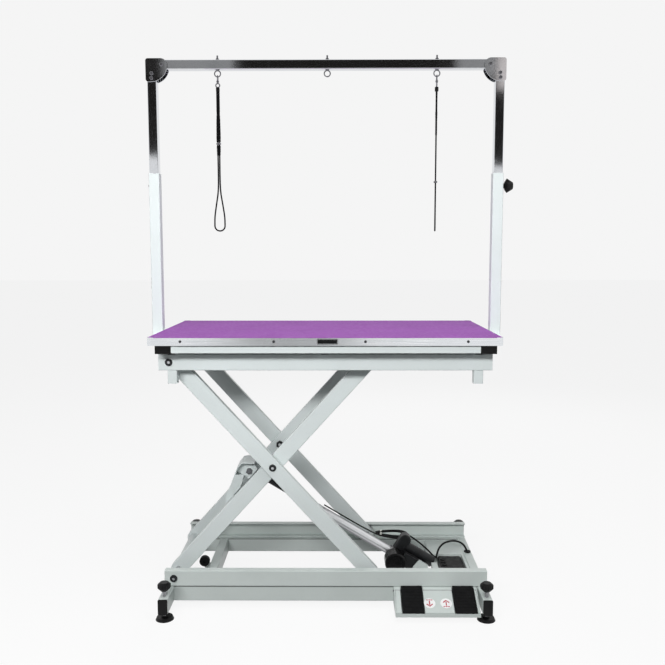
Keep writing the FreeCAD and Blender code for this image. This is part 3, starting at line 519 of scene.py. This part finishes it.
def lathe(work, base, axis, profile, steps=32):
    """Turns (distance along the axis, radius) pairs round the axis."""
    axis = Vector(axis).normalized()
    side = axis.orthogonal().normalized()
    other = axis.cross(side)
    rings = []
    for along, radius in profile:
        ring = []
        for index in range(steps):
            turn = 2 * math.pi * index / steps
            offset = side * (radius * math.cos(turn)) + other * (radius * math.sin(turn))
            ring.append(work.verts.new(base + (axis * along + offset) / 1000))
        rings.append(ring)
    for first, second in zip(rings, rings[1:]):
        for index in range(steps):
            after = (index + 1) % steps
            work.faces.new((first[index], first[after], second[after], second[index]))
    work.faces.new(rings[0][::-1])
    work.faces.new(rings[-1])


# ------------------------------------------------------------------ nooses
# X of the eye bolts that the nooses hang from.
LEFT_EYE_X = -362.0
RIGHT_EYE_X = 371.0

# The two strands and the open loop of a noose.
STRAND_HALF_GAP = 2.75
LOOP_HALF = 17.0
LOOP_BOTTOM = 1244.0
NOOSE_TOP = 1716.0
CORD_DIAMETER = 5.0

# The collar at the top, the ferrule on the strands, and one length of strap.
COLLAR_LOW = 1706
COLLAR_TALL = 15
COLLAR_RADIUS = 6.2
FERRULE_TALL = 7
STRAP_STEP = 11


def noose_points(x, loop_top, edge_on):
    """One strand down, round the open loop and back up beside it.

    The strands run together down to loop_top, where the loop begins to open.
    """
    side = []
    steps = max(5, int((NOOSE_TOP - loop_top) / 62))
    for index in range(steps + 1):
        wander = 0.2 if index % 2 else -0.2
        side.append((STRAND_HALF_GAP + wander, NOOSE_TOP + (loop_top - NOOSE_TOP) * index / steps))
    middle = LOOP_BOTTOM + LOOP_HALF
    facet = LOOP_HALF * math.tan(math.radians(22.5))
    side += [(LOOP_HALF * 0.62, middle + 72), (LOOP_HALF * 0.97, middle + 32), (LOOP_HALF, middle + 10),
             (LOOP_HALF, middle - facet), (facet, LOOP_BOTTOM)]
    route = [(-u, z) for u, z in side] + list(reversed(side))
    if edge_on:
        return [(x + 0.12 * u, u, z) for u, z in route]
    return [(x + u, 0.12 * u, z) for u, z in route]


def sleeve(name, x, z, height, radius, material, body):
    """A sleeve with rounded ends that grips both strands of a noose."""
    profile = [(0, radius * 0.55), (0.6, radius * 0.95), (2, radius), (height - 2, radius),
               (height - 0.6, radius * 0.95), (height, radius * 0.55)]
    return mesh_piece(name, lambda work: lathe(work, at(x, 0, z), (0, 0, 1), profile), material, body)


def strap_centre(points, z):
    """Middle X of the two strands of a noose at a height above its loop."""
    nearest = sorted(points, key=lambda point: abs(point[2] - z))[:2]
    return sum(point[0] for point in nearest) / len(nearest)


def strap_half(shape, z):
    """Half width of the strap at a height, between the listed heights."""
    for (above, first), (below, second) in zip(shape, shape[1:]):
        if below <= z <= above:
            return second + (first - second) * (z - below) / (above - below)
    return shape[-1][1]


def strap_segment(name, x, z, height, wide, deep, body):
    """A short length of flat woven strap round both strands, its half sizes wide and deep."""
    profile = [(0.0, 0.9), (0.5, 1.0), (height - 0.5, 1.0), (height, 0.9)]
    centre = at(x, 0, z)

    def build(work):
        lathe(work, centre, (0, 0, 1), profile, 24)
        for vertex in work.verts:
            vertex.co.x = centre.x + (vertex.co.x - centre.x) * wide
            vertex.co.y = centre.y + (vertex.co.y - centre.y) * deep

    return mesh_piece(name, build, STRAP, body)


def make_noose(side, eye_x, loop_top, edge_on, shape, strap_deep, ferrule_z, ferrule_radius):
    """One noose; the shape lists heights with the strap's half width there, from the top down."""
    body = side + "_noose"
    points = noose_points(eye_x, loop_top, edge_on)
    ferrule_x = strap_centre(points, ferrule_z)
    pieces = [sleeve(side + "_collar", eye_x, COLLAR_LOW, COLLAR_TALL, COLLAR_RADIUS, BLACK, body),
              sleeve(side + "_ferrule", ferrule_x, ferrule_z, FERRULE_TALL, ferrule_radius, ZINC, body)]
    lowest = int(shape[-1][0])
    for index, z in enumerate(range(COLLAR_LOW - STRAP_STEP, lowest, -STRAP_STEP)):
        middle = z + STRAP_STEP / 2
        if abs(middle - ferrule_z - FERRULE_TALL / 2) < FERRULE_TALL:
            continue
        pieces.append(strap_segment("%s_strap_%d" % (side, index), strap_centre(points, middle), z + 0.1,
                                    STRAP_STEP - 0.2, strap_half(shape, middle), strap_deep, body))
    held_cord(side + "_noose_braid", side + "_noose_cord", body, points, CORD_DIAMETER, BRAID)


def make_nooses():
    """The left noose is seen flat, the right one edge on."""
    left_shape = ((1712, 5.9), (1645, 5.9), (1634, 5.6), (1612, 6.6), (1560, 7.4), (1515, 6.6), (1490, 5.6))
    right_shape = ((1712, 3.5), (1690, 3.1), (1640, 3.1), (1632, 3.9), (1620, 3.2), (1562, 3.1))
    make_noose("left", LEFT_EYE_X, loop_top=1379, edge_on=False, shape=left_shape, strap_deep=3.3,
               ferrule_z=1532, ferrule_radius=8.2)
    make_noose("right", RIGHT_EYE_X, loop_top=1400, edge_on=True, shape=right_shape, strap_deep=6.1,
               ferrule_z=1404, ferrule_radius=6.2)


# ------------------------------------------------------------------ cables
# The two pins of the actuator in X and Z, and its slope.
ACT_PIVOT = (318.0, 58.0)
ROD_PIN = (-269.22, 411.0)
ACT_ANGLE = math.atan2(ROD_PIN[1] - ACT_PIVOT[1], ACT_PIVOT[0] - ROD_PIN[0])

# The tied hank: its middle, turns, half length and the step from turn to turn.
HANK_CENTRE = (236, 64, 150)
HANK_TURNS = 4
HANK_HALF_LONG = 54.0
HANK_TURN_PITCH = 5.2


def act_point(along, y, above):
    """Beside the actuator: distance from its pivot, side, height above its line."""
    return (ACT_PIVOT[0] - along * math.cos(ACT_ANGLE) + above * math.sin(ACT_ANGLE), y,
            ACT_PIVOT[1] + along * math.sin(ACT_ANGLE) + above * math.cos(ACT_ANGLE))


def hank_points():
    """Loose folded turns of the spare cable, pinched together at the tie on the left."""
    points = []
    per_turn = 12
    for index in range(HANK_TURNS * per_turn + 1):
        share = index / per_turn
        turn = 2 * math.pi * share + math.pi
        spread = 0.5 + 0.5 * math.cos(turn)
        offset = (share - HANK_TURNS / 2) * HANK_TURN_PITCH
        reach = HANK_HALF_LONG + 5.0 * math.sin(2.1 * share)
        along = reach * math.cos(turn)
        open_half = (7.0 + 12.0 * spread) * (1.0 + 0.22 * math.sin(1.7 * share))
        rise = open_half * math.sin(turn)
        droop = 4.0 * math.sin(2.6 * share) * spread
        points.append((HANK_CENTRE[0] + along, HANK_CENTRE[1] + offset * 0.9 - 0.3 * rise,
                       HANK_CENTRE[2] + rise + droop - 0.06 * along))
    return points


def make_cables():
    """The cables round the actuator: three single runs on their CAD routes, and the tied hank."""
    tube_route = [act_point(118, 6, 50), act_point(150, 5, 30), act_point(195, 3, 24),
                  act_point(250, 5, 21.5), act_point(305, 3, 22), act_point(352, 5, 21.5),
                  act_point(394, 3, 22)]
    held_cord("sensor_cable", "tube_cable", "actuator", tube_route, 5.0, CABLE)

    arc = [(392, 6, 82), (398, 20, 106), (418, 40, 123), (449, 54, 129), (480, 61, 124), (502, 62, 109),
           (512, 60, 86)]
    held_cord("pedal_cable", "cable_arc", "base", arc, 7.0, CABLE)

    strand = [(303, 63, 143), (322, 53, 133), (344, 44, 118), (366, 38, 100), (384, 33, 80), (400, 30, 72)]
    held_cord("control_cable", "cable_strand", "base", strand, 6.0, CABLE)

    held_cord("hank_cable", "cable_hank", "actuator", hank_points(), 5.0, CABLE)
    band = [(-3, 11.5), (-2.4, 13), (2.4, 13), (3, 11.5)]
    tie_place = at(196, 63, 152)
    mesh_piece("hank_tie", lambda work: lathe(work, tie_place, (1, 0, -0.1), band), TIE, "actuator")


# ------------------------------------------------------------ small details
# The front and back edges of the sloping plate between the pedals, how far up
# the slope the marks are centred, and how far each print stands off it.
PLATE_FRONT = Vector((0, -322, 39.2))
PLATE_BACK = Vector((0, -237, 82.2))
MARK_UP_SLOPE = 36
DISC_LIFT = 0.3
PRINT_LIFT = 0.6
DISC_RADIUS = 18.5


def plate_mark(name, centre_x, shapes, material, lift):
    """Flat printed shapes on the sloping plate between the pedals."""
    slope = (PLATE_BACK - PLATE_FRONT).normalized()
    away = Vector((0, -slope.z, slope.y))

    def build(work):
        for shape in shapes:
            corners = []
            for u, v in shape:
                place = PLATE_FRONT + slope * (MARK_UP_SLOPE + v) + away * lift
                corners.append(work.verts.new(at(centre_x + u, place.y, place.z)))
            work.faces.new(corners)

    mesh_piece(name, build, material, "base", False)


def round_outline(radius, steps=40):
    """Points evenly round a circle."""
    turns = [2 * math.pi * index / steps for index in range(steps)]
    return [(radius * math.cos(turn), radius * math.sin(turn)) for turn in turns]


def arrow_mark(name, x, way):
    """A white disc with a red arrow and three bars, pointing up (1) or down (-1)."""
    plate_mark(name + "_disc", x, [round_outline(DISC_RADIUS)], DISC, DISC_LIFT)
    shaft = [(-1.6, -9 * way), (1.6, -9 * way), (1.6, 6 * way), (-1.6, 6 * way)]
    left = [(0, 13 * way), (0, 8.6 * way), (-8.5, 1.5 * way), (-11, 4 * way)]
    right = [(-u, v) for u, v in left]
    bars = []
    for start, end in ((-10, -4), (-2.6, 2.6), (4, 10)):
        bars.append([(start, -11 * way), (end, -11 * way), (end, -14 * way), (start, -14 * way)])
    plate_mark(name, x, [shaft, left, right] + bars, RED, PRINT_LIFT)


def make_plate_border():
    """Thin bright line round the blank nameplate."""
    low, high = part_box("nameplate")
    front = low[1] - 0.0002
    inset = 0.0012
    width = 0.0009
    left = low[0] + inset
    right = high[0] - inset
    bottom = low[2] + inset
    top = high[2] - inset

    def build(work):
        strips = ((left, right, bottom, bottom + width),
                  (left, right, top - width, top),
                  (left, left + width, bottom + width, top - width),
                  (right - width, right, bottom + width, top - width))
        for x0, x1, z0, z1 in strips:
            corners = ((x0, front, z0), (x1, front, z0), (x1, front, z1), (x0, front, z1))
            work.faces.new([work.verts.new(corner) for corner in corners])

    mesh_piece("nameplate_border", build, ALU, "upper_frame", False)


def make_details():
    """The printed marks and the line round the nameplate."""
    arrow_mark("arrow_down", 333, -1)
    arrow_mark("arrow_up", 386, 1)
    make_plate_border()


# ------------------------------------------------------------------- stage
# The studio is in metres round the object's origin on the floor.
FLOOR_HALF = 30.0
DOME_RADIUS = 40.0
DOME_GLOW = 0.913
WALL_PANEL_Y = -4.0
NEAR_PANEL_Y = -3.95

# The camera's place goes through at(); its turns are in radians.
CAMERA_PLACE = (38.7, -2612.3, 1168.7)
CAMERA_DOWN = 0.1044
CAMERA_ROLL = 0.0009
CAMERA_LEFT = 0.0064
LENS_MM = 41.078


def flat_stage(name, corners, material):
    """One flat four-cornered surface of the studio."""
    mesh = bpy.data.meshes.new(name)
    mesh.from_pydata([tuple(c) for c in corners], [], [(0, 1, 2, 3)])
    mesh.materials.append(material)
    piece = bpy.data.objects.new(name, mesh)
    bpy.context.scene.collection.objects.link(piece)
    return piece


def glowing(name, shade, strength, colour=(1.0, 1.0, 1.0)):
    """A matt studio surface that glows evenly, so the ground stays pale and plain."""
    m = Material(name, roughness=0.9, specular=0.0)
    darker = shade * 0.97
    m.colour(m.mix(m.noise(1.5, 2.0), (shade, shade, shade, 1), (darker, darker, darker, 1)))
    m.shader.inputs["Emission Color"].default_value = (*colour, 1.0)
    m.shader.inputs["Emission Strength"].default_value = strength
    return m.material


def area_light(name, place, target, size, watts):
    """A soft box aimed at the target, which shiny parts don't mirror."""
    light = bpy.data.lights.new(name, "AREA")
    light.shape = "RECTANGLE"
    light.size = size[0]
    light.size_y = size[1]
    light.energy = watts
    lamp = bpy.data.objects.new(name, light)
    lamp.location = place
    lamp.visible_glossy = False
    aim = Vector(target) - Vector(place)
    lamp.rotation_euler = aim.to_track_quat("-Z", "Y").to_euler()
    bpy.context.scene.collection.objects.link(lamp)


def reflection_only(piece):
    """Seen only in the shiny parts, so it neither lights nor shades the object."""
    piece.visible_camera = False
    piece.visible_diffuse = False
    piece.visible_shadow = False


def make_dome():
    """The pale surroundings, seen by the camera and in the shiny parts."""
    mesh = bpy.data.meshes.new("dome")
    work = bmesh.new()
    bmesh.ops.create_icosphere(work, subdivisions=4, radius=DOME_RADIUS)
    work.to_mesh(mesh)
    work.free()
    mesh.materials.append(glowing("studio_dome", 0.0, DOME_GLOW))
    dome = bpy.data.objects.new("dome", mesh)
    bpy.context.scene.collection.objects.link(dome)
    dome.visible_diffuse = False
    dome.visible_shadow = False


def make_floor():
    """A pale floor that glows enough to meet the dome without a line between them."""
    half = FLOOR_HALF
    corners = [(-half, -half, 0), (half, -half, 0), (half, half, 0), (-half, half, 0)]
    floor = flat_stage("floor", corners, glowing("studio_floor", 0.10, 0.877))
    floor.visible_diffuse = False


def make_panels():
    """Upright panels behind the camera and a flat one on the floor, only for reflections."""
    dark = glowing("studio_dark", 0.02, 0.012, (1.0, 0.9, 0.85))
    grey = glowing("studio_grey", 0.02, 0.30)
    pale = glowing("studio_pale", 0.02, 0.70, (1.0, 0.93, 0.90))
    panels = (("dark_wall", WALL_PANEL_Y, (-3.6, 2.05), (3.6, 1.83), 4.40, dark),
              ("grey_left", NEAR_PANEL_Y, (-1.44, 2.62), (-0.84, 2.62), 3.10, grey),
              ("grey_right", NEAR_PANEL_Y, (1.02, 2.62), (1.34, 2.62), 3.10, grey),
              ("plate_right", NEAR_PANEL_Y, (1.36, 2.52), (1.62, 2.52), 2.82, pale),
              ("low_shade", NEAR_PANEL_Y, (-0.85, 0.02), (0.15, 0.02), 1.10, grey))
    for name, y, (x0, low0), (x1, low1), top, material in panels:
        corners = [(x0, y, low0), (x1, y, low1), (x1, y, top), (x0, y, top)]
        reflection_only(flat_stage(name, corners, material))
    corners = [(-1.3, -1.7, 0.004), (1.3, -1.7, 0.004), (1.3, -0.5, 0.004), (-1.3, -0.5, 0.004)]
    reflection_only(flat_stage("floor_shade", corners, glowing("studio_floor_shade", 0.02, 0.40)))


def make_world():
    world = bpy.data.worlds.new("studio")
    world.use_nodes = True
    background = world.node_tree.nodes["Background"]
    background.inputs["Color"].default_value = (0.93, 0.97, 1.0, 1)
    background.inputs["Strength"].default_value = 0.10
    bpy.context.scene.world = world


def make_lights():
    area_light("key", (-0.8, -3.2, 2.2), (0, 0, 0.65), size=(2.4, 0.5), watts=92)
    area_light("fill_right", (2.6, -2.4, 2.3), (0, 0, 0.7), size=(1.2, 0.6), watts=8)
    area_light("top", (0.2, -1.1, 3.5), (0, -0.3, 0.3), size=(2.2, 1.4), watts=44)
    area_light("rear_fill", (0.9, 3.2, 2.3), (0, 0, 0.7), size=(2.0, 1.2), watts=34)


def make_camera():
    """The camera in front of the table, tipped a little down."""
    camera = bpy.data.cameras.new("camera")
    camera.sensor_width = 36.0
    camera.lens = LENS_MM
    holder = bpy.data.objects.new("camera", camera)
    holder.location = at(*CAMERA_PLACE)
    holder.rotation_euler = (math.pi / 2 - CAMERA_DOWN, CAMERA_ROLL, CAMERA_LEFT)
    bpy.context.scene.collection.objects.link(holder)
    bpy.context.scene.camera = holder


bpy.context.scene.view_settings.view_transform = "Standard"
finish_cad_nodes()
make_nooses()
make_cables()
make_details()
make_floor()
make_dome()
make_panels()
make_world()
make_lights()
make_camera()
